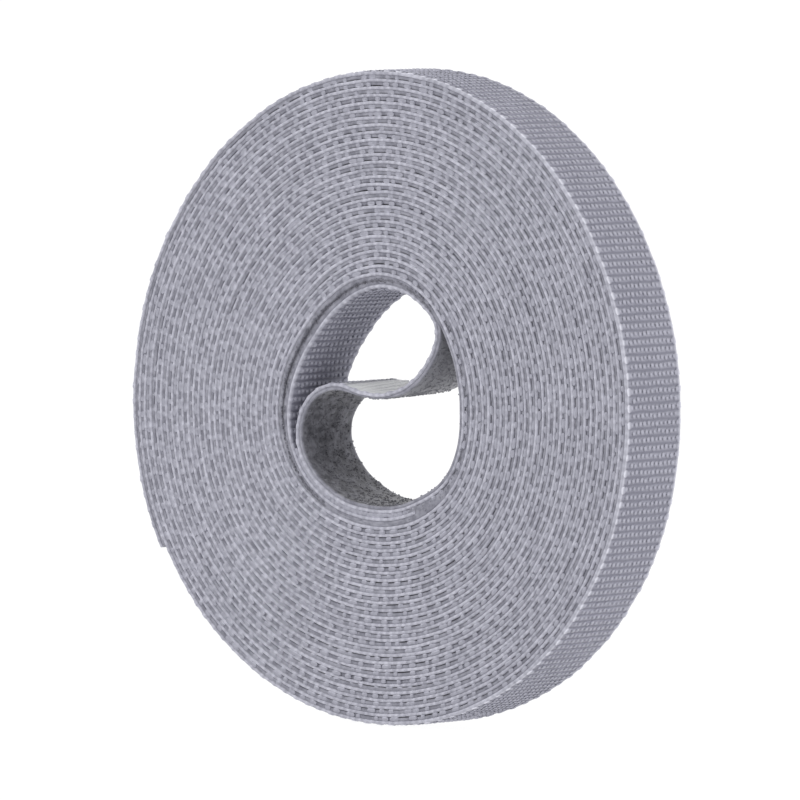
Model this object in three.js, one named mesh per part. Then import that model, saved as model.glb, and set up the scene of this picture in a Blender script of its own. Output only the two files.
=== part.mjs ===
// A coreless roll of hook and loop tape, standing on its rim with its axis along Y and its front towards -Y.
// The tape is two plies bonded back to back. The hook ply faces out of the roll, the brushed loop ply faces in.
// From its inner end the tape runs as a tail round the left of the bore, doubles back across the bore as an
// S fold, winds outwards as a spiral, and ends in a free end that peels off the roll on a chain of hinges.
// Lengths are in millimetres. Angles are in degrees, seen from the front and counted anticlockwise from +X.

import * as THREE from 'three';

// The tape
const tapeWidth = 10;
const hookPly = 0.27;
const loopPly = 0.27;
const bondLine = 0.15; // adhesive between the backs of the plies
const engagedPile = 0.212; // hooks of one turn sunk in the loops of the turn wound over it

// The roll
const rollRadius = 40; // outside of the tape at its free end
const woundTurns = 25;
const outerTurns = 2;
const facetsPerTurn = 20;
const freeEndAngle = 207;
const threeLobeRise = 0.29; // the turns are out of round by these rises, and twice as much at the bore
const threeLobeAngle = 78.5;
const ovalRise = 0.175;
const ovalAngle = 55;
const innerTurnShift = 0.7; // the fold pushes the turns round the bore over this way
const innerShiftAngle = 190;

// The free end
const freeEndLinks = 4; // each one facet long
const jointGap = 0.3; // between one stretch of tape and the next

// The fold across the bore
const tailEndAngle = 290;
const bendAngle = 63; // where the tail leaves the turns and bends back
const bendRadius = 5.5;
const slopeAngle = -22; // where the bend runs out into the slope down to the strap
const sweepRadius = 7.5; // between the slope and the strap
const strapAngle = -8; // tilt of the flat strap across the bore
const strapHeight = 0.85; // strap's distance above the roll's axis
const curlAngle = 206; // where the strap's curl runs into the first turn
const foldSlack = 0.48; // how loosely the tail and the fold lie against each other and the first turn
const tailBow = 0.6; // how far the tail sags off the turn over it
const sagFrom = 43; // between these angles
const sagTo = 245;
const settleFrom = -30; // between these the first turn closes in
const settleTo = -70; // to leave room for the tail
const bendFacets = 6;
const sweepFacets = 3;
const curlFacets = 5;

const tapeThickness = hookPly + bondLine + loopPly;
const turnPitch = tapeThickness + engagedPile;
const turns = woundTurns + outerTurns;
const endRadius = rollRadius - hookPly - bondLine / 2;
const foldGap = tapeThickness + foldSlack;
const facetAngle = 360 / facetsPerTurn;

const hookNylon = new THREE.MeshStandardMaterial({ color: 0xa0a0ac, roughness: 0.62, metalness: 0 });
const loopFleece = new THREE.MeshStandardMaterial({ color: 0x6e6f77, roughness: 0.95, metalness: 0 });

const rad = THREE.MathUtils.degToRad;

// Point at an angle and a radius from a centre
function polar(angle, radius, centre = new THREE.Vector2()) {
  return new THREE.Vector2(Math.cos(rad(angle)), Math.sin(rad(angle))).multiplyScalar(radius).add(centre);
}

// Corner of the winding's facets so many turns in from the free end, or closer to the roll's axis by a drop.
// The facets touch the true radius at their middles
function turnCorner(turnsIn, drop = 0) {
  const angle = freeEndAngle - 360 * turnsIn;
  const inwards = turnsIn / turns;
  const threeLobes = threeLobeRise * Math.cos(rad(3 * (angle - threeLobeAngle)));
  const oval = ovalRise * Math.cos(rad(2 * (angle - ovalAngle)));
  const radius = endRadius - turnPitch * turnsIn + (threeLobes + oval) * (1 + inwards) - drop;
  const cornerRadius = radius / Math.cos(rad(facetAngle / 2));
  return polar(angle, cornerRadius, polar(innerShiftAngle, innerTurnShift * inwards ** 1.5));
}

// Corners of an arc's tangent facets, from one tangent point to the other
function arcCorners(centre, radius, from, to, facets) {
  const step = (to - from) / facets;
  const cornerRadius = radius / Math.cos(rad(step / 2));
  const corners = [polar(from, radius, centre)];
  for (let i = 0; i < facets; i += 1) {
    corners.push(polar(from + step * (i + 0.5), cornerRadius, centre));
  }
  corners.push(polar(to, radius, centre));
  return corners;
}

// Middle of the tape over a range of facets counted inwards from the free end, listed outwards
function windingPath(firstFacet, lastFacet) {
  const path = [];
  for (let facet = lastFacet; facet >= firstFacet; facet -= 1) {
    path.push(turnCorner(facet / facetsPerTurn));
  }
  return path;
}

// How far the tail sags off the turns at an angle
function tailSag(angle) {
  const along = THREE.MathUtils.clamp((angle - sagFrom) / (sagTo - sagFrom), 0, 1);
  return tailBow * Math.sin(Math.PI * along);
}

// Corner of the tail at an angle
function tailCorner(angle) {
  return turnCorner(turns + (freeEndAngle - angle) / 360, foldGap + tailSag(angle));
}

// Corner of the first turn at an angle. It lies under the tail, and past the tail's tip it joins the winding
function firstTurnCorner(angle) {
  const underTail = 2 * foldGap - turnPitch + tailSag(angle + 360);
  const settled = THREE.MathUtils.smoothstep(angle, settleTo, settleFrom);
  return turnCorner(turns + (freeEndAngle - angle) / 360, underTail * (1 - settled));
}

// Middle of the tape from the tip of its tail, through the fold, to the start of the winding
function foldPath() {
  const path = [tailCorner(tailEndAngle)];
  const tailFacets = Math.floor((tailEndAngle - freeEndAngle) / facetAngle);
  for (let facet = tailFacets; freeEndAngle + facetAngle * facet > bendAngle + facetAngle / 2; facet -= 1) {
    path.push(tailCorner(freeEndAngle + facetAngle * facet));
  }

  const bendStart = tailCorner(bendAngle);
  const bendCentre = polar(bendAngle, -bendRadius, bendStart);
  path.push(...arcCorners(bendCentre, bendRadius, bendAngle, slopeAngle, bendFacets));

  // The sweep touches the slope, a line along the end of the bend, and the strap
  const across = polar(slopeAngle, 1);
  const up = polar(strapAngle + 90, 1);
  const offSlope = across.dot(bendCentre) + bendRadius - sweepRadius;
  const offStrap = strapHeight + sweepRadius;
  const sweepCentre = new THREE.Vector2(
    offSlope * up.y - offStrap * across.y,
    offStrap * across.x - offSlope * up.x,
  ).divideScalar(across.cross(up));
  path.push(...arcCorners(sweepCentre, sweepRadius, slopeAngle, strapAngle - 90, sweepFacets));

  // The curl touches the strap's line and the first turn
  const curlEnd = firstTurnCorner(curlAngle - 360);
  const curlRadius = (strapHeight - up.dot(curlEnd)) / (1 - up.dot(polar(curlAngle, 1)));
  const curlCentre = polar(curlAngle, -curlRadius, curlEnd);
  path.push(...arcCorners(curlCentre, curlRadius, strapAngle + 90, curlAngle, curlFacets));

  const firstTurnLinks = Math.floor((freeEndAngle - curlAngle + 360) / facetAngle - 0.5);
  for (let link = firstTurnLinks; link >= 0; link -= 1) {
    path.push(firstTurnCorner(freeEndAngle - facetAngle * link));
  }
  return path;
}

// One side of a ply: the path moved sideways, with its ends cut square and drawn back by half a joint gap
function plySide(path, offset) {
  const last = path.length - 1;
  const runs = [];
  for (let i = 0; i < last; i += 1) {
    runs.push(path[i + 1].clone().sub(path[i]).normalize());
  }
  const outward = (run) => new THREE.Vector2(run.y, -run.x);
  return path.map((corner, i) => {
    const before = outward(runs[Math.max(i - 1, 0)]);
    const after = outward(runs[Math.min(i, last - 1)]);
    const mitre = before.clone().add(after).divideScalar(1 + before.dot(after));
    const point = corner.clone().addScaledVector(mitre, offset);
    if (i === 0) {
      point.addScaledVector(runs[0], jointGap / 2);
    }
    if (i === last) {
      point.addScaledVector(runs[last - 1], -jointGap / 2);
    }
    return point;
  });
}

function distanceToRun(point, start, end) {
  const run = end.clone().sub(start);
  const along = THREE.MathUtils.clamp(point.clone().sub(start).dot(run) / run.lengthSq(), 0, 1);
  return point.distanceTo(start.clone().addScaledVector(run, along));
}

// Least distance between stretches of one strip that lie half a turn of facets or more apart
function leastGap(sides) {
  const apart = facetsPerTurn / 2;
  let least = Infinity;
  for (const side of sides) {
    for (const other of sides) {
      for (let i = 0; i < side.length; i += 1) {
        for (let j = i + apart; j < other.length - 1; j += 1) {
          least = Math.min(least, distanceToRun(side[i], other[j], other[j + 1]));
        }
      }
    }
  }
  return least;
}

// One ply over a stretch of the path, between two distances from the bond line, extruded to the tape's width
function plyMesh(name, path, near, far, material, origin) {
  const sides = [plySide(path, far), plySide(path, near)];
  const gap = leastGap(sides);
  if (gap < Infinity) {
    console.log(`${name}: least gap to itself ${gap.toFixed(2)} mm`);
  }
  const outline = [...sides[0], ...sides[1].reverse()];
  const shape = new THREE.Shape(outline.map((point) => point.clone().sub(origin)));
  const geometry = new THREE.ExtrudeGeometry(shape, { depth: tapeWidth, bevelEnabled: false });
  geometry.translate(0, 0, -tapeWidth / 2);
  const mesh = new THREE.Mesh(geometry, material);
  mesh.name = name;
  return mesh;
}

// Both plies over a stretch of the path, back to back on the bond line
function addTape(group, stretch, path, origin = new THREE.Vector2()) {
  const half = bondLine / 2;
  group.add(plyMesh(`hook_ply_${stretch}`, path, half, half + hookPly, hookNylon, origin));
  group.add(plyMesh(`loop_ply_${stretch}`, path, -half, -half - loopPly, loopFleece, origin));
}

// The roll lies in the X-Y plane of its own group, which is then stood up
const roll = new THREE.Group();
const woundFrom = outerTurns * facetsPerTurn;
addTape(roll, 'inner_fold', foldPath());
addTape(roll, 'winding', windingPath(woundFrom, woundFrom + woundTurns * facetsPerTurn));
addTape(roll, 'outer_turns', windingPath(freeEndLinks, woundFrom));

// Each link of the free end hangs on a hinge at the middle of the tape, on the link before it
let carrier = roll;
let carrierHinge = new THREE.Vector2();
for (let link = 1; link <= freeEndLinks; link += 1) {
  const path = windingPath(freeEndLinks - link, freeEndLinks - link + 1);
  const hinge = path[0];
  const hingeGroup = new THREE.Group();
  hingeGroup.name = `free_end_hinge_${link}`;
  hingeGroup.position.set(hinge.x - carrierHinge.x, hinge.y - carrierHinge.y, 0);
  addTape(hingeGroup, `end_${link}`, path, hinge);
  carrier.add(hingeGroup);
  carrier = hingeGroup;
  carrierHinge = hinge;
}

// The facet under the axis is the flat that the roll stands on, so the roll is turned until that facet is level
const outerFace = plySide(windingPath(0, facetsPerTurn), bondLine / 2 + hookPly);
let lowest = 0;
for (let i = 0; i < facetsPerTurn; i += 1) {
  const height = outerFace[i].y + outerFace[i + 1].y;
  if (height < outerFace[lowest].y + outerFace[lowest + 1].y) {
    lowest = i;
  }
}
const standingRun = outerFace[lowest + 1].clone().sub(outerFace[lowest]);
const standingHeight = Math.abs(outerFace[lowest].cross(standingRun)) / standingRun.length();
roll.rotation.z = -Math.atan2(standingRun.y, standingRun.x);

const standingRoll = new THREE.Group();
standingRoll.rotation.x = Math.PI / 2;
standingRoll.position.z = standingHeight;
standingRoll.add(roll);

export default standingRoll;
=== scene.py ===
from math import cos, radians, sin

import bmesh
import bpy
import numpy as np
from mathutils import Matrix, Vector


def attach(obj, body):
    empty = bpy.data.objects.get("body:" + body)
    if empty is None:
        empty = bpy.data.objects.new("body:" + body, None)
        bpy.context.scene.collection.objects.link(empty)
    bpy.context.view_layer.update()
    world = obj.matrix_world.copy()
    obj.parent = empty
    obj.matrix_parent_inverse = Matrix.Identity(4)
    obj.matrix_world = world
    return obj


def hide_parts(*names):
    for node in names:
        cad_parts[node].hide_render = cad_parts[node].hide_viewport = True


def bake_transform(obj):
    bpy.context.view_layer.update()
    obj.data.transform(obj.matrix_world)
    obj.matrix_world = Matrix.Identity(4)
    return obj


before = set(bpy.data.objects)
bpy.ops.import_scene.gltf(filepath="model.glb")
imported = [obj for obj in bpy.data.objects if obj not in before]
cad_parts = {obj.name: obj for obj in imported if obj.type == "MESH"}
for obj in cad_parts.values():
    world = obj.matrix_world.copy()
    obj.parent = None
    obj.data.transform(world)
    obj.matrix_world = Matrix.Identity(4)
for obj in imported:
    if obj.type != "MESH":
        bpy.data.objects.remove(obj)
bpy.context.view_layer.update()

mm = 0.001

# Camera: a long lens a little above the roll's axis and to the right of its front, so that the coiled side and
# the rim both show. It aims a little left of the axis, and the picture is square.
axis_height = 39.0945 * mm
camera_azimuth = radians(40.89)
camera_elevation = radians(3.29)
camera_distance = 1509 * mm
camera_aim_right = -0.655 * mm
camera_aim_up = 0.04 * mm
focal_length, sensor_width = 561.7, 36  # in millimetres, as a camera takes them

lens = bpy.data.cameras.new("camera")
lens.lens = focal_length
lens.sensor_width = sensor_width
camera = bpy.data.objects.new("camera", lens)
to_camera = Vector((
    sin(camera_azimuth) * cos(camera_elevation),
    -cos(camera_azimuth) * cos(camera_elevation),
    sin(camera_elevation),
))
picture_right = Vector((cos(camera_azimuth), sin(camera_azimuth), 0))
picture_up = to_camera.cross(picture_right)
camera.location = (
    Vector((0, 0, axis_height))
    + to_camera * camera_distance
    + picture_right * camera_aim_right
    + picture_up * camera_aim_up
)
camera.rotation_euler = (radians(90) - camera_elevation, 0, camera_azimuth)
bpy.context.scene.collection.objects.link(camera)
bpy.context.scene.camera = camera

# Studio: a white light table under the roll, a white surround and two wide lamps with soft edges, one high on the
# left in front of the coiled side and one on the right that grazes the rim.
table_side = 6
table_height = -0.2 * mm  # under the tips of the lowest hooks
table_glow = 0.97
surround_ahead, surround_behind = 1, 0.5  # as the camera looks
surround_fades_from, surround_fades_to = -0.3, 0.6  # from far ahead, -1, to far behind, 1
lamps = {
    "lamp_left": {"place": (-0.75, -1.15, 1.0), "power": 12, "size": 0.8},
    "lamp_right": {"place": (1.45, -0.05, 0.75), "power": 10, "size": 0.8},
}


def dye(red, green, blue):
    """A colour given by its display values from 0 to 255, as a shader takes it."""
    return [((level / 255 + 0.055) / 1.055) ** 2.4 for level in (red, green, blue)] + [1]


def finish_node(material, kind, inputs=None, **settings):
    """A node of a finish, with its settings, and its inputs set or joined to other nodes' outputs."""
    made = material.node_tree.nodes.new(kind)
    for name, value in settings.items():
        setattr(made, name, value)
    for socket, value in (inputs or {}).items():
        if isinstance(value, bpy.types.NodeSocket):
            material.node_tree.links.new(value, made.inputs[socket])
        else:
            made.inputs[socket].default_value = value
    return made


lit_acrylic = bpy.data.materials.new("lit_acrylic")
lit_acrylic.use_nodes = True
acrylic_shader = lit_acrylic.node_tree.nodes["Principled BSDF"]
acrylic_shader.inputs["Base Color"].default_value = dye(60, 60, 60)
acrylic_shader.inputs["Roughness"].default_value = 0.9
acrylic_shader.inputs["Specular IOR Level"].default_value = 0.1
acrylic_shader.inputs["Emission Color"].default_value = (1, 1, 1, 1)
acrylic_shader.inputs["Emission Strength"].default_value = table_glow

table_top = bmesh.new()
bmesh.ops.create_grid(table_top, x_segments=1, y_segments=1, size=table_side / 2)
bmesh.ops.translate(table_top, vec=(0, 0, table_height), verts=table_top.verts)
table_mesh = bpy.data.meshes.new("table")
table_top.to_mesh(table_mesh)
table_top.free()
table_mesh.materials.append(lit_acrylic)
table = bpy.data.objects.new("table", table_mesh)
bpy.context.scene.collection.objects.link(table)

for lamp_name, lamp in lamps.items():
    light = bpy.data.lights.new(lamp_name, "AREA")
    light.energy = lamp["power"]
    light.size = lamp["size"]
    fitting = bpy.data.objects.new(lamp_name, light)
    fitting.location = lamp["place"]
    aim = Vector((0, 0, axis_height)) - fitting.location
    fitting.rotation_euler = aim.to_track_quat("-Z", "Y").to_euler()
    bpy.context.scene.collection.objects.link(fitting)

surround = bpy.data.worlds.new("surround")
surround.use_nodes = True
surround_light = surround.node_tree.nodes["Background"]
surround_light.inputs["Color"].default_value = (1, 1, 1, 1)
surround_place = finish_node(surround, "ShaderNodeTexCoord")
surround_side = finish_node(
    surround,
    "ShaderNodeVectorMath",
    {0: surround_place.outputs["Generated"], 1: (sin(camera_azimuth), -cos(camera_azimuth), 0)},
    operation="DOT_PRODUCT",
)
surround_strength = finish_node(
    surround,
    "ShaderNodeMapRange",
    {
        "Value": surround_side.outputs["Value"],
        "From Min": surround_fades_from,
        "From Max": surround_fades_to,
        "To Min": surround_ahead,
        "To Max": surround_behind,
    },
)
surround.node_tree.links.new(surround_strength.outputs["Result"], surround_light.inputs["Strength"])
bpy.context.scene.world = surround
bpy.context.scene.view_settings.view_transform = "Standard"

# Hook ply, the woven ground: a nylon strip with a dense rounded selvedge along both edges, wound with its hook
# face out. From its inner end it runs as a tail round the left of the bore, doubles back across the bore as an
# S fold that a slotted winding shaft leaves, and winds outwards to a free end that is cut square.
tape_width = 10 * mm
turn_pitch = 0.902 * mm
turns = 27
outer_turns = 2
end_radius = 39.655 * mm  # to the middle of the tape at the free end
free_end_angle = 208
three_lobe_rise, three_lobe_angle = 0.29 * mm, 78.5  # the turns are out of round, most of all at the bore
oval_rise, oval_angle = 0.175 * mm, 55
inner_shift, inner_shift_angle = 0.7 * mm, 190
tail_end_angle = 296
bend_angle, bend_radius = 52.2, 3.29 * mm
slope_angle = -25
sweep_radius = 10.28 * mm
strap_angle, strap_height = -6.1, 0.6 * mm
crease_left, lift_angle = 3.94 * mm, -24.6  # where the strap leaves the shaft's slot and lifts towards the curl
curl_angle = 213
fold_gap = 1 * mm
tail_bow, sag_from, sag_to = 0.8 * mm, 43, 245
settle_to, settle_from = -62, -30
first_turn_slack, slack_angle, slack_fade = 0.28 * mm, 10, 40
standing_turn = 0.44  # the roll is turned a little, to stand on a flat of its rim
tail_points, bend_points, sweep_points, curl_points, lead_in_points = 300, 100, 60, 100, 500
points_per_turn = 400


def polar(angle, radius, centre=(0, 0)):
    """Points at angles and radii from a centre, seen from the front."""
    angle = np.radians(np.atleast_1d(angle))
    return np.column_stack((np.cos(angle), np.sin(angle))) * np.reshape(radius, (-1, 1)) + centre


def wound(turns_in, drop=0):
    """Points of the winding so many turns in from the free end, or closer to the roll's axis by a drop."""
    angle = free_end_angle - 360 * turns_in
    inwards = turns_in / turns
    three_lobes = three_lobe_rise * np.cos(np.radians(3 * (angle - three_lobe_angle)))
    oval = oval_rise * np.cos(np.radians(2 * (angle - oval_angle)))
    radius = end_radius - turn_pitch * turns_in + (three_lobes + oval) * (1 + inwards) - drop
    return polar(angle, radius) + polar(inner_shift_angle, inner_shift)[0] * np.reshape(inwards**1.5, (-1, 1))


def tail_sag(angle):
    """How far the tail sags off the turn over it."""
    return tail_bow * np.sin(np.pi * np.clip((angle - sag_from) / (sag_to - sag_from), 0, 1))


def first_turn_drop(angle):
    """How far the first turn lies in from the winding's even spacing: under the tail, then loosely past its tip."""
    settled = np.clip((angle - settle_to) / (settle_from - settle_to), 0, 1)
    settled = settled**2 * (3 - 2 * settled)
    under_tail = 2 * fold_gap - turn_pitch + tail_sag(angle + 360)
    loose = first_turn_slack * np.cos(np.radians(angle - slack_angle))
    loose = loose * np.clip((free_end_angle - angle) / slack_fade, 0, 1)
    return under_tail * (1 - settled) + loose * settled


def first_turn(angle):
    """Points of the first turn, which lies under the tail and past the tail's tip joins the winding."""
    return wound(turns + (free_end_angle - angle) / 360, first_turn_drop(angle))


tail_turn = np.linspace(tail_end_angle, bend_angle, tail_points)
tail = wound(turns + (free_end_angle - tail_turn) / 360, fold_gap + tail_sag(tail_turn))

bend_centre = tail[-1] - polar(bend_angle, bend_radius)[0]
bend = polar(np.linspace(bend_angle, slope_angle, bend_points), bend_radius, bend_centre)

# The sweep touches the slope, a line along the end of the bend, and the strap
slope_out = polar(slope_angle, 1)[0]
strap_up = polar(strap_angle + 90, 1)[0]
sweep_centre = np.linalg.solve(
    np.array((slope_out, strap_up)),
    (slope_out @ bend_centre + bend_radius - sweep_radius, strap_height + sweep_radius),
)
sweep = polar(np.linspace(slope_angle, strap_angle - 90, sweep_points), sweep_radius, sweep_centre)

# The curl touches the strap's lifted end and the first turn
crease = strap_up * strap_height - polar(strap_angle, crease_left)
lift_up = polar(lift_angle + 90, 1)[0]
curl_end = first_turn(np.array([curl_angle - 360.0]))[0]
curl_radius = lift_up @ (crease[0] - curl_end) / (1 - lift_up @ polar(curl_angle, 1)[0])
curl_centre = curl_end - polar(curl_angle, curl_radius)[0]
curl = polar(np.linspace(lift_angle + 90, curl_angle, curl_points), curl_radius, curl_centre)

lead_in_turn = np.linspace(curl_angle - 360, free_end_angle, lead_in_points)[1:-1]
lead_in = first_turn(lead_in_turn)
turns_in = np.linspace(turns, 0, points_per_turn * turns)
winding = wound(turns_in)

bends = np.vstack((tail, bend, sweep, crease, curl, lead_in, winding))
stand = radians(standing_turn)
bends = bends @ np.array(((cos(stand), sin(stand)), (-sin(stand), cos(stand))))
run = np.concatenate(([0], np.cumsum(np.hypot(*np.diff(bends, axis=0).T))))
tape_length = run[-1]
winding_starts = run[-len(winding)]
tail_ends = run[len(tail)]
strap_starts = run[len(tail) + len(bend) + len(sweep) - 1]
strap_ends = run[len(tail) + len(bend) + len(sweep)]
curl_ends = run[-len(winding) - len(lead_in)]
pressed_from, pressed_to = strap_starts - 5.5 * mm, strap_ends + 2 * mm  # by the shaft's slot

# The same route in short even steps, with its corners eased, and the way that the hook face points along it
route_step = 0.2 * mm
ease = 5
route_run = np.linspace(0, tape_length, int(tape_length / route_step))
route = np.column_stack([np.interp(route_run, run, bends[:, axis]) for axis in (0, 1)])
padded_route = np.pad(route, ((ease, ease), (0, 0)), mode="reflect", reflect_type="odd")
evenly = np.full(2 * ease + 1, 1 / (2 * ease + 1))
route = np.column_stack([np.convolve(padded_route[:, axis], evenly, "valid") for axis in (0, 1)])
heading = np.gradient(route, axis=0)
heading /= np.hypot(*heading.T)[:, None]
facing = np.column_stack((heading[:, 1], -heading[:, 0]))

# The fold lies a little askew: its back edge runs higher over the strap and further out round the curl
askew_run = np.concatenate((
    (tail_ends, strap_starts - 5 * mm, strap_starts), strap_ends + np.array((0, 3.5, 8, 11.5, 14, 22)) * mm
))
askew = np.array((0, 0.3, 0.3, 0.7, -0.1, -0.1, 0.3, 0.35, 0)) * mm

# Winding leaves the turns a little uneven, sideways and in height
sway_step, sway_spread = 14 * mm, 0.045 * mm
ripple_step, ripple_spread = 2.1 * mm, 0.025 * mm
chance = np.random.default_rng(7)
sway_run = np.arange(0, tape_length, sway_step)
sway = chance.normal(0, sway_spread, len(sway_run))
ripple_run = np.arange(0, tape_length, ripple_step)
ripple = chance.normal(0, ripple_spread, len(ripple_run))


def run_at(turns_from_end):
    """Distance along the tape of the point that lies so many turns in from the free end."""
    return float(np.interp(turns - turns_from_end, turns - turns_in, run[-len(winding):]))


def wind(flat):
    """Points of the flat tape, as distance along it, across it and above its middle, where the roll has them."""
    along, across, rise = flat.T
    rise = rise + np.interp(along, ripple_run, ripple)
    rise = rise + np.interp(along, askew_run, askew) * (0.5 - across / tape_width)
    across = across + np.interp(along, sway_run, sway)
    x, z, out_x, out_z = (np.interp(along, route_run, track) for track in (*route.T, *facing.T))
    return np.column_stack((x + out_x * rise, -across, axis_height + z + out_z * rise))


# Each piece of the free end runs from midway before its hinge to midway after it, and the last one to the cut end
link_turn = 0.05
stretches = {
    "inner_fold": (0, winding_starts),
    "winding": (winding_starts, run_at(outer_turns)),
    "outer_turns": (run_at(outer_turns), run_at(4.5 * link_turn)),
    "end_1": (run_at(4.5 * link_turn), run_at(3.5 * link_turn)),
    "end_2": (run_at(3.5 * link_turn), run_at(2.5 * link_turn)),
    "end_3": (run_at(2.5 * link_turn), run_at(1.5 * link_turn)),
    "end_4": (run_at(1.5 * link_turn), tape_length),
}
strip_step = 0.8 * mm
strip_steps = {"inner_fold": 0.5 * mm, "winding": 1.2 * mm}

ground_low, ground_high = -0.17 * mm, 0.25 * mm
selvedge_rounding = 0.17 * mm
selvedge_from, selvedge_to = 4.5 * mm, 4.8 * mm
hook_row = 0.97 * mm
row_stray = 0.3 * mm
tip_highlight_from, tip_highlight_to = ground_high + 0.02 * mm, ground_high + 0.16 * mm
bare_tuft_from, bare_tuft_to = ground_high - 0.04 * mm, ground_high + 0.08 * mm
covered_tuft_from, covered_tuft_to = ground_high + 0.1 * mm, ground_high + 0.14 * mm
pressed_middle, pressed_half = (pressed_from + pressed_to) / 2, (pressed_to - pressed_from) / 2
sheen_fade = 0.8 * mm
sharp_angle = radians(50)


def maths(material, operation, *terms, use_clamp=False):
    """What a sum in a finish comes to."""
    inputs = dict(enumerate(terms))
    return finish_node(material, "ShaderNodeMath", inputs, operation=operation, use_clamp=use_clamp).outputs[0]


def fade(material, value, start, end, most=1):
    """A strength in a finish that grows from nothing to its most as a value goes from start to end."""
    inputs = {"Value": value, "From Min": start, "From Max": end, "To Max": most}
    return finish_node(material, "ShaderNodeMapRange", inputs).outputs["Result"]


def mottle(material, place, scale, detail):
    """An uneven strength from place to place in a finish."""
    inputs = {"Vector": place, "Scale": scale, "Detail": detail}
    return finish_node(material, "ShaderNodeTexNoise", inputs).outputs["Fac"]


def mix(material, share, colour, other):
    """A colour in a finish that gives way to another by its share."""
    inputs = {"Factor": share, "A": colour, "B": other}
    return finish_node(material, "ShaderNodeMix", inputs, data_type="RGBA").outputs["Result"]


hook_nylon = bpy.data.materials.new("hook_nylon")
hook_nylon.use_nodes = True
nylon_shader = hook_nylon.node_tree.nodes["Principled BSDF"]
nylon_shader.inputs["Roughness"].default_value = 0.6
nylon_shader.inputs["Specular IOR Level"].default_value = 0.3
nylon_shader.inputs["Sheen Weight"].default_value = 0.1
nylon_place = finish_node(hook_nylon, "ShaderNodeAttribute", attribute_name="tape_place").outputs["Vector"]
nylon_along, nylon_across, nylon_rise = finish_node(hook_nylon, "ShaderNodeSeparateXYZ", {0: nylon_place}).outputs

# The hook face: the yarns' tone, painted shade in the grooves between the hook rows, hooks of paler filament painted
# paler still towards their tips as a highlight, and painted sheen on the pressed strap
yarn_tone = mottle(hook_nylon, nylon_place, scale=1500, detail=3)
dye_tone = mottle(hook_nylon, nylon_place, scale=160, detail=2)
tone = fade(hook_nylon, maths(hook_nylon, "ADD", yarn_tone, dye_tone), 0.65, 1.35)
yarn_colour = mix(hook_nylon, tone, dye(134, 134, 147), dye(160, 160, 173))
row_wander = mottle(hook_nylon, nylon_place, scale=450, detail=1)
row_place = maths(hook_nylon, "MULTIPLY_ADD", row_wander, row_stray, nylon_along)
row_turn = maths(hook_nylon, "MULTIPLY_ADD", row_place, 2 * np.pi / hook_row, -np.pi * row_stray / hook_row)
row_rise = maths(hook_nylon, "COSINE", row_turn)
# Painted shade: the colour darkens in the grooves between the hook rows
row_groove_shade = fade(hook_nylon, row_rise, 0, -0.95)
groove_shaded_colour = mix(hook_nylon, row_groove_shade, yarn_colour, dye(121, 121, 134))
# Painted highlight: the hooks are a paler filament than the ground, and their colour pales further towards their tips
hook_tip_highlight = fade(hook_nylon, nylon_rise, tip_highlight_from, tip_highlight_to)
face_colour = mix(hook_nylon, hook_tip_highlight, groove_shaded_colour, dye(169, 169, 182))
# Painted sheen: the strap, where the shaft's slot pressed it flat, is painted pale
off_strap = maths(hook_nylon, "ABSOLUTE", maths(hook_nylon, "SUBTRACT", nylon_along, pressed_middle))
strap_sheen = fade(hook_nylon, off_strap, pressed_half + sheen_fade, pressed_half - sheen_fade)
sheened_face_colour = mix(hook_nylon, strap_sheen, face_colour, dye(214, 215, 216))

# The selvedges: paler, in wraps as long as a hook row with painted shade between them, and tufts painted pale as a
# highlight on the bare turn and dull, as shade, under a turn
# Painted shade: the colour darkens between the wraps along the selvedge
wrap_turn = maths(hook_nylon, "MULTIPLY", nylon_along, 2 * np.pi / hook_row)
wrap_rise = maths(hook_nylon, "COSINE", wrap_turn)
wrap_shade_and_tone = maths(hook_nylon, "MULTIPLY_ADD", wrap_rise, 0.18, tone, use_clamp=True)
wrap_colour = mix(hook_nylon, wrap_shade_and_tone, dye(150, 150, 162), dye(190, 190, 202))
# Painted highlight and shade: the same tufts are painted pale on the bare outer turn and dull under a turn
bare_edge = fade(hook_nylon, nylon_along, run_at(1.1), run_at(1))
bare_tuft = fade(hook_nylon, nylon_rise, bare_tuft_from, bare_tuft_to)
tuft_highlight_share = maths(hook_nylon, "MULTIPLY", bare_edge, bare_tuft)
tuft_highlight_colour = mix(hook_nylon, tuft_highlight_share, wrap_colour, dye(214, 214, 225))
covered_tuft = fade(hook_nylon, nylon_rise, covered_tuft_from, covered_tuft_to)
selvedge_colour = mix(hook_nylon, covered_tuft, tuft_highlight_colour, dye(155, 155, 167))
off_middle = maths(hook_nylon, "ABSOLUTE", nylon_across)
selvedge = fade(hook_nylon, off_middle, selvedge_from, selvedge_to)
nylon_colour = mix(hook_nylon, selvedge, sheened_face_colour, selvedge_colour)
hook_nylon.node_tree.links.new(nylon_colour, nylon_shader.inputs["Base Color"])

row_relief = finish_node(
    hook_nylon, "ShaderNodeBump", {"Height": row_rise, "Strength": 0.7, "Distance": 0.06 * mm}
)
yarn_relief = finish_node(
    hook_nylon,
    "ShaderNodeBump",
    {"Height": yarn_tone, "Strength": 0.6, "Distance": 0.15 * mm, "Normal": row_relief.outputs["Normal"]},
)
hook_nylon.node_tree.links.new(yarn_relief.outputs["Normal"], nylon_shader.inputs["Normal"])


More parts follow.
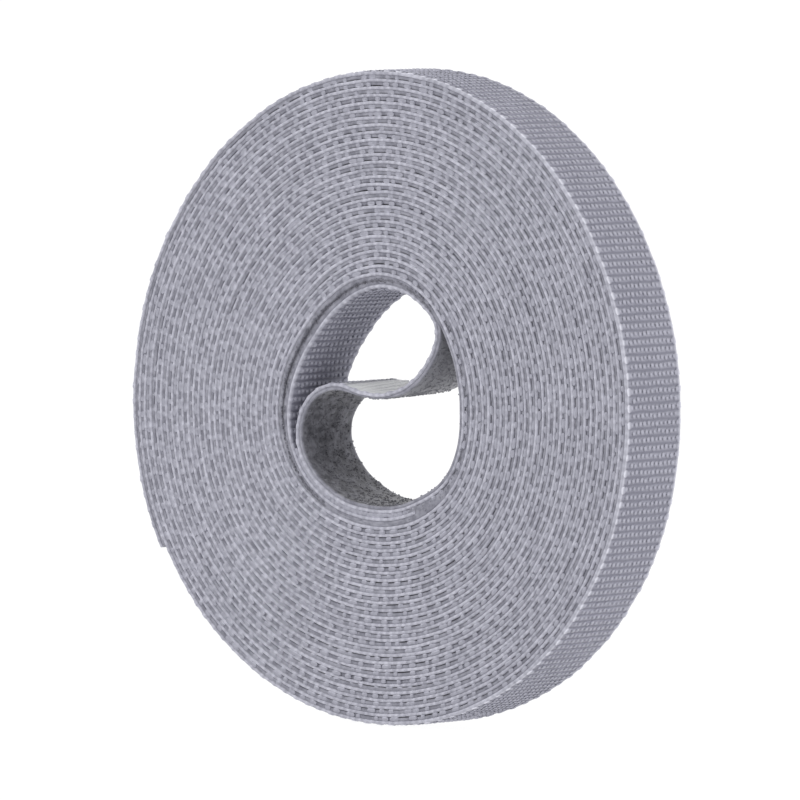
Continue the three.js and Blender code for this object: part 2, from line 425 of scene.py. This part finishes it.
def flat_strip(stretch, width, low, high, rounding):
    """A flat length of one ply for a stretch of the tape, its long edges rounded."""
    start, end = stretches[stretch]
    step = strip_steps.get(stretch, strip_step)
    strip = bmesh.new()
    bmesh.ops.create_grid(strip, x_segments=max(2, round((end - start) / step)), y_segments=1, size=0.5)
    bmesh.ops.scale(strip, vec=(end - start, width, 1), verts=strip.verts)
    bmesh.ops.translate(strip, vec=((start + end) / 2, 0, high), verts=strip.verts)
    bmesh.ops.solidify(strip, geom=strip.faces[:], thickness=high - low)
    long_edges = [
        edge for edge in strip.edges if abs(edge.verts[0].co.x - edge.verts[1].co.x) > 0.1 * step
    ]
    bmesh.ops.bevel(
        strip,
        geom=long_edges,
        offset=rounding,
        offset_type="OFFSET",
        affect="EDGES",
        segments=2,
        profile=0.5,
        material=-1,
    )
    return strip


def wound_piece(name, flat, finish):
    """The flat model wound on to the roll as an object. Its points keep their places on the flat tape."""
    mesh = bpy.data.meshes.new(name)
    flat.to_mesh(mesh)
    flat.free()
    places = np.empty(3 * len(mesh.vertices), np.float32)
    mesh.vertices.foreach_get("co", places)
    mesh.attributes.new("tape_place", "FLOAT_VECTOR", "POINT").data.foreach_set("vector", places)
    on_roll = wind(places.reshape(-1, 3).astype(float))
    mesh.vertices.foreach_set("co", on_roll.astype(np.float32).ravel())
    mesh.shade_smooth()
    mesh.set_sharp_from_angle(angle=sharp_angle)
    mesh.materials.append(finish)
    piece = bpy.data.objects.new(name, mesh)
    bpy.context.scene.collection.objects.link(piece)
    return piece


def hang_on_roll(piece, stretch):
    """A piece of the roll rides on it. A piece of the free end stays where it lies, its placing baked into its points."""
    if not stretch.startswith("end_"):
        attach(piece, "roll")
        return
    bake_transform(piece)


# Hooks: thick bent nylon filaments in rows across the hook face, cut on one side, alternate rows set over by half
# a space. Each second row ends in a tuft at both selvedges. Under a turn only these tufts can be seen, where they
# bridge the gap to the turn over them.
hook_column = 0.77 * mm
hooks_across = 12
hook_filament = 0.17 * mm
hook_bend = 0.18 * mm
hook_bend_angle = radians(215)
hook_stem = 0.05 * mm
hook_wider, hook_lower = 1.4, 0.45
hook_stray_along, hook_stray_across, hook_stray_turn = 0.05 * mm, 0.03 * mm, 0.12
hook_sizes = (0.85, 1.1)
tail_hooks_higher = 1.6
strap_hooks_lower = 0.3  # the shaft's slot has pressed the hooks on the strap flat
cut_margin = 0.4 * mm  # the tape's cut ends are bare
bare_from = run_at(1.25)
tuft_size = (1.05 * mm, 0.34 * mm, 0.5 * mm)
tuft_rounding = 0.22  # of its size
tuft_stray_turn = 0.1
tuft_column = 4.8 * mm
covered_tuft_rise = 0.48 * mm
covered_tuft_stray = 0.55 * mm
covered_tuft_lengths, covered_tuft_widths = (0.55, 1.3), (0.75, 1.1)
covered_tail = 22 * mm  # the tail's tip lies against the first turn, hooks to hooks, and both have tufts in threes
three_tuft_steps = (-0.65 * mm, 0, 0.65 * mm)
three_tuft_column = tuft_column - 0.1 * mm
bare_tuft_column = 4.6 * mm
bare_tuft_shape = np.array((0.85, 2, 0.42))
bare_tuft_stray = 0.1 * mm
bare_tuft_sizes = (0.8, 1.1)

hook_shape = bmesh.new()
bmesh.ops.create_circle(hook_shape, cap_ends=True, segments=5, radius=hook_filament)
bmesh.ops.translate(hook_shape, vec=(-hook_bend, 0, 0), verts=hook_shape.verts)
bmesh.ops.spin(
    hook_shape,
    geom=hook_shape.verts[:] + hook_shape.edges[:] + hook_shape.faces[:],
    cent=(0, 0, hook_stem),
    axis=(0, 1, 0),
    angle=hook_bend_angle,
    steps=4,
)
bmesh.ops.scale(hook_shape, vec=(1, hook_wider, hook_lower), verts=hook_shape.verts)
bmesh.ops.recalc_face_normals(hook_shape, faces=hook_shape.faces[:])

tuft_shape = bmesh.new()
bmesh.ops.create_cube(tuft_shape, size=1)
bmesh.ops.bevel(
    tuft_shape,
    geom=tuft_shape.edges[:],
    offset=tuft_rounding,
    offset_type="OFFSET",
    affect="EDGES",
    segments=1,
    profile=0.5,
    material=-1,
)
bmesh.ops.scale(tuft_shape, vec=tuft_size, verts=tuft_shape.verts)


def set_out(flat, shape, places, turn, size):
    """Adds a copy of a small shape to a flat model at each place, sized and turned by its own amounts."""
    pattern = bpy.data.meshes.new("pattern")
    shape.to_mesh(pattern)
    carrier = bpy.data.objects.new("carrier", pattern)
    bpy.context.scene.collection.objects.link(carrier)
    copies = carrier.modifiers.new("copies", "ARRAY")
    copies.count = len(places)
    copies.use_relative_offset = False
    laid_out = bpy.data.meshes.new_from_object(
        carrier.evaluated_get(bpy.context.evaluated_depsgraph_get())
    )
    points = np.empty(3 * len(laid_out.vertices), np.float32)
    laid_out.vertices.foreach_get("co", points)
    points = points.reshape(len(places), -1, 3) * np.reshape(size, (len(places), 1, -1))
    turned = points.copy()
    turned[..., 0] = points[..., 0] * np.cos(turn)[:, None] - points[..., 1] * np.sin(turn)[:, None]
    turned[..., 1] = points[..., 0] * np.sin(turn)[:, None] + points[..., 1] * np.cos(turn)[:, None]
    turned += np.reshape(places, (-1, 1, 3))
    laid_out.vertices.foreach_set("co", turned.astype(np.float32).ravel())
    flat.from_mesh(laid_out)
    bpy.data.objects.remove(carrier)
    bpy.data.meshes.remove(pattern)
    bpy.data.meshes.remove(laid_out)


def row_places(start, end):
    """Distances along the tape of the hook rows on a length of it, with their numbers."""
    start, end = max(start, cut_margin), min(end, tape_length - cut_margin)
    rows = np.arange(np.ceil(start / hook_row), end / hook_row)
    return [(int(row), row * hook_row) for row in rows]


def add_hooks(flat, start, end):
    """Rows of hooks on a flat length, where no turn lies over it."""
    places, heights = [], []
    for row, along in row_places(start, end):
        if curl_ends < along < bare_from:
            continue
        columns = hooks_across - row % 2
        places += [(along, (k - (columns - 1) / 2) * hook_column, ground_high) for k in range(columns)]
        if pressed_from < along < pressed_to:
            height = strap_hooks_lower
        else:
            height = tail_hooks_higher if along < tail_ends else 1
        heights += [height] * columns
    places = np.array(places)
    count = len(places)
    places[:, 0] += chance.normal(0, hook_stray_along, count)
    places[:, 1] += chance.normal(0, hook_stray_across, count)
    sizes = np.column_stack((np.ones((count, 2)), heights)) * chance.uniform(*hook_sizes, (count, 1))
    set_out(flat, hook_shape, places, turn=chance.normal(0, hook_stray_turn, count), size=sizes)


def add_tufts(flat, start, end):
    """Tufts at both selvedges of a flat length: flat ones where it is bare, and tall ones under a turn."""
    places, sizes = [], []
    for row, along in row_places(start, end):
        if row % 2:
            continue
        steps, column = (0,), tuft_column
        if along < covered_tail or curl_ends < along < curl_ends + covered_tail:
            steps, column = three_tuft_steps, three_tuft_column
        for side in (-1, 1):
            if along < covered_tail or curl_ends < along < bare_from:
                shift = chance.uniform(-covered_tuft_stray, covered_tuft_stray)
                places += [(along + step + shift, side * column, covered_tuft_rise) for step in steps]
                sizes += [
                    (chance.uniform(*covered_tuft_lengths), chance.uniform(*covered_tuft_widths), 1) for _ in steps
                ]
            else:
                shift = chance.uniform(-bare_tuft_stray, bare_tuft_stray)
                places += [(along + shift, side * bare_tuft_column, ground_high)]
                sizes += [bare_tuft_shape * chance.uniform(*bare_tuft_sizes)]
    turn = chance.normal(0, tuft_stray_turn, len(places))
    set_out(flat, tuft_shape, np.array(places), turn, size=np.array(sizes))


for stretch, (start, end) in stretches.items():
    hook_strip = flat_strip(stretch, tape_width, ground_low, ground_high, selvedge_rounding)
    if stretch == "winding":
        tufts = bmesh.new()
        add_tufts(tufts, start, end)
        tuft_piece = wound_piece("tufts_winding", tufts, hook_nylon)
        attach(tuft_piece, "roll")
    else:
        add_hooks(hook_strip, start, end)
        add_tufts(hook_strip, start, end)
    hook_piece = wound_piece(f"hook_tape_{stretch}", hook_strip, hook_nylon)
    hang_on_roll(hook_piece, stretch)
    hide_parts(f"hook_ply_{stretch}")

# Loop ply: a thin knitted ground bonded to the back of the hook ply, with its face brushed up into a dark pile of
# fine loops. Its edges lie back from the selvedge, so that between the turns it shows as a dark line. In the slack
# between the tail and the turn over it, and past the tail's tip, the pile stands up and fills the gap.
fleece_width = 9.7 * mm
fleece_low, fleece_high = -0.59 * mm, -0.15 * mm
fleece_rounding = 0.1 * mm
fleece_face_below = fleece_high - 0.15 * mm
fleece_edge_from, fleece_edge_to = 4.4 * mm, 4.8 * mm
bend_light_from, bend_light_to, bend_light_most = 14 * mm, 9 * mm, 0.6  # painted light on the outside of the fold's bend
bend_light_middle = (tail_ends + strap_starts) / 2
fill_fade = 0.3 * mm
tail_fade = 3 * mm
pile_filament = 0.04 * mm
pile_bend = 0.11 * mm
pile_density = 4.4e6  # in a square metre
pile_margin = 0.2 * mm
pile_sunk = 0.02 * mm
pile_sizes, pile_turn = (0.7, 1.35), 1.6
edge_pile_density = 14000  # in a metre of one edge
edge_pile_from, edge_pile_to = 4.55 * mm, 4.95 * mm
edge_pile_depths = (-0.4, 1)
edge_pile_sizes, edge_pile_turn = (0.8, 1.6), 1
least_slack = 0.05 * mm
fold_pile = (tail_ends - 3 * mm, winding_starts - 38 * mm)  # where the fold's loop face shows
winding_slack = 60 * mm  # the start of the winding that has slack to fill

turn_angles = free_end_angle + 360 * (turns - turns_in[:points_per_turn])
past_tip_from = tail_end_angle - 6
past_tip = np.where(turn_angles > past_tip_from, np.maximum(first_turn_drop(turn_angles - 360), 0), 0)
slack_ends = run_at(turns - (sag_to - free_end_angle) / 360)
tail_slack_ends = tail_ends + 2 * mm
strap_run = np.array((pressed_from, pressed_from + 3 * mm, strap_ends, pressed_to))
strap_thinner = 0.22 * mm  # the shaft's slot has pressed the pile flat too
slack_run = np.concatenate((
    run[:len(tail)],
    [tail_slack_ends],
    strap_run,
    run[-len(winding) - len(lead_in):-len(winding) + points_per_turn],
))
slack = np.concatenate((
    tail_sag(tail_turn) / 2,
    [0],
    np.array((0, -strap_thinner, -strap_thinner, 0)),
    tail_sag(lead_in_turn) / 2,
    tail_sag(turn_angles) / 2 + past_tip,
))

loop_fleece = bpy.data.materials.new("loop_fleece")
loop_fleece.use_nodes = True
fleece_shader = loop_fleece.node_tree.nodes["Principled BSDF"]
fleece_shader.inputs["Roughness"].default_value = 0.9
fleece_shader.inputs["Specular IOR Level"].default_value = 0.15
fleece_shader.inputs["Sheen Weight"].default_value = 0.4
fleece_place = finish_node(loop_fleece, "ShaderNodeAttribute", attribute_name="tape_place").outputs["Vector"]
fleece_along, fleece_across, fleece_rise = finish_node(loop_fleece, "ShaderNodeSeparateXYZ", {0: fleece_place}).outputs

# The nap's tone, painted paler round the fold's bend as light falling there
nap = mottle(loop_fleece, fleece_place, scale=1000, detail=5)
nap_tone = fade(loop_fleece, nap, 0.35, 0.65)
nap_colour = mix(loop_fleece, nap_tone, dye(69, 69, 76), dye(112, 112, 120))
off_bend = maths(loop_fleece, "ABSOLUTE", maths(loop_fleece, "SUBTRACT", fleece_along, bend_light_middle))
bend_painted_light = fade(loop_fleece, off_bend, bend_light_from, bend_light_to, bend_light_most)
bend_lit_colour = mix(loop_fleece, bend_painted_light, nap_colour, dye(158, 158, 166))

# The edges, painted paler than the nap as light where they show between the turns, and painted darker, as shade, where
# the pile fills the slack beside the tail
# Painted light: the fleece edges are paler than the nap, to brighten the shaded gaps between the turns
lit_edge_colour = mix(loop_fleece, nap_tone, dye(118, 118, 129), dye(150, 150, 161))
# Painted shade: the edges darken where the pile fills the slack beside the tail
fill_depth = fade(loop_fleece, fleece_rise, fleece_low, fleece_low - fill_fade)
beside_tail = fade(loop_fleece, fleece_along, slack_ends + tail_fade, slack_ends)
fill_shade = maths(loop_fleece, "MULTIPLY", fill_depth, beside_tail)
fill_shaded_colour = mix(loop_fleece, fill_shade, lit_edge_colour, dye(92, 92, 102))
fleece_side = maths(loop_fleece, "ABSOLUTE", fleece_across)
fleece_edge = fade(loop_fleece, fleece_side, fleece_edge_from, fleece_edge_to)
fleece_colour = mix(loop_fleece, fleece_edge, bend_lit_colour, fill_shaded_colour)
loop_fleece.node_tree.links.new(fleece_colour, fleece_shader.inputs["Base Color"])

fleece_relief = finish_node(
    loop_fleece, "ShaderNodeBump", {"Height": nap, "Strength": 0.8, "Distance": 0.2 * mm}
)
loop_fleece.node_tree.links.new(fleece_relief.outputs["Normal"], fleece_shader.inputs["Normal"])

pile_shape = bmesh.new()
bmesh.ops.create_circle(pile_shape, cap_ends=True, segments=3, radius=pile_filament)
bmesh.ops.translate(pile_shape, vec=(-pile_bend, 0, 0), verts=pile_shape.verts)
bmesh.ops.spin(
    pile_shape,
    geom=pile_shape.verts[:] + pile_shape.edges[:] + pile_shape.faces[:],
    cent=(0, 0, 0),
    axis=(0, -1, 0),
    angle=radians(180),
    steps=3,
)
bmesh.ops.recalc_face_normals(pile_shape, faces=pile_shape.faces[:])


def add_pile(flat, start, end):
    """A brushed pile of loops on the loop face of a flat length."""
    count = int((end - start) * fleece_width * pile_density)
    along = chance.uniform(start + pile_margin, end - pile_margin, count)
    places = np.column_stack((
        along,
        chance.uniform(-0.5, 0.5, count) * fleece_width,
        fleece_low + pile_sunk - np.interp(along, slack_run, slack),
    ))
    sizes = chance.uniform(*pile_sizes, (count, 1)) * np.ones(3)
    set_out(flat, pile_shape, places, turn=chance.uniform(-pile_turn, pile_turn, count), size=sizes)


def fill_slack(flat, start, end):
    """Thickens the pile of a flat length where it fills slack, and roughens the edges that show there."""
    for point in flat.verts:
        if point.co.z < fleece_face_below:
            point.co.z -= np.interp(point.co.x, slack_run, slack)
    count = int((end - start) * 2 * edge_pile_density)
    along = chance.uniform(start + pile_margin, end - pile_margin, count)
    depth = np.interp(along, slack_run, slack)
    along, depth = along[depth > least_slack], depth[depth > least_slack]
    count = len(along)
    places = np.column_stack((
        along,
        chance.choice((-1, 1), count) * chance.uniform(edge_pile_from, edge_pile_to, count),
        fleece_low - depth * chance.uniform(*edge_pile_depths, count),
    ))
    sizes = chance.uniform(*edge_pile_sizes, (count, 1)) * np.ones(3)
    turn = chance.uniform(-edge_pile_turn, edge_pile_turn, count)
    set_out(flat, pile_shape, places, turn, size=sizes)


for stretch, (start, end) in stretches.items():
    fleece_strip = flat_strip(stretch, fleece_width, fleece_low, fleece_high, fleece_rounding)
    if stretch == "inner_fold":
        fill_slack(fleece_strip, start, end)
        add_pile(fleece_strip, *fold_pile)
    elif stretch == "winding":
        fill_slack(fleece_strip, start, start + winding_slack)
    elif stretch != "outer_turns":
        add_pile(fleece_strip, start, end)
    fleece_piece = wound_piece(f"loop_fleece_{stretch}", fleece_strip, loop_fleece)
    hang_on_roll(fleece_piece, stretch)
    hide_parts(f"loop_ply_{stretch}")
